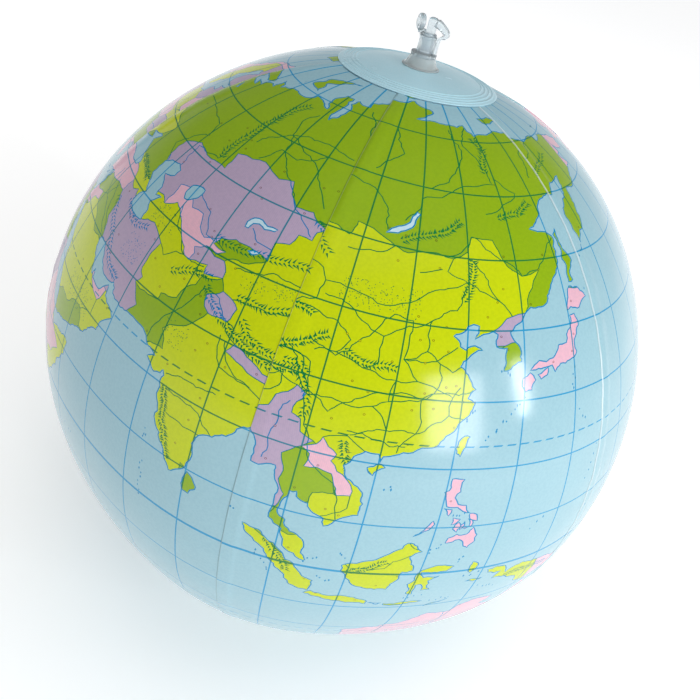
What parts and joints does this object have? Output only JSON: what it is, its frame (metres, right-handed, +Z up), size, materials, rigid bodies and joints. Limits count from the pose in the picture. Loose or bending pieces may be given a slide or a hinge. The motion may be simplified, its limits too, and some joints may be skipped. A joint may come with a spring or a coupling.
{
  "type": "inflatable globe ball",
  "caption": "Blown-up vinyl ball printed as a world globe, welded from gores and pole caps, with a clear push-in valve and a tethered plug on the north pole.",
  "frame": {"origin": "under the south pole, where the ball rests", "axes": "+Z up the polar axis and out of the valve; longitude 180 on +X and the 90 degrees east seam on -Y"},
  "size_m": [0.3, 0.3, 0.3141],
  "materials": {
    "printed_vinyl": "glossy calendered PVC film, printed on the outside",
    "cap_vinyl": "glossy pale blue PVC film with fine welded ribs",
    "clear_vinyl": "clear soft injection-moulded PVC"
  },
  "bodies": {
    "ball": {"gore_europe_africa": "printed_vinyl", "gore_west_asia": "printed_vinyl", "gore_east_asia": "printed_vinyl", "gore_pacific": "printed_vinyl", "gore_west_americas": "printed_vinyl", "gore_east_americas": "printed_vinyl", "north_cap": "cap_vinyl", "south_cap": "cap_vinyl", "valve_flange": "clear_vinyl", "valve_skirt": "clear_vinyl"},
    "stem": {"valve_stem": "clear_vinyl", "plug_strap": "clear_vinyl"},
    "plug": {"valve_plug": "clear_vinyl"},
    "flap": {"check_flap": "clear_vinyl"}
  },
  "joints": [
    {"name": "valve_press", "type": "slide", "parent": "ball", "child": "stem", "axis": [0, 0, 1], "range_m": [-0.009, 0], "deforming": ["valve_skirt"]},
    {"name": "plug_pull", "type": "slide", "parent": "stem", "child": "plug", "axis": [0, 0, 1], "range_m": [0, 0.008], "deforming": ["plug_strap"]},
    {"name": "flap_swing", "type": "hinge", "parent": "stem", "child": "flap", "pos_m": [-0.0035, 0, 0.29035], "axis": [0, 1, 0], "range_deg": [0, 60], "stiffness_Nm_per_rad": 0.0002}
  ]
}
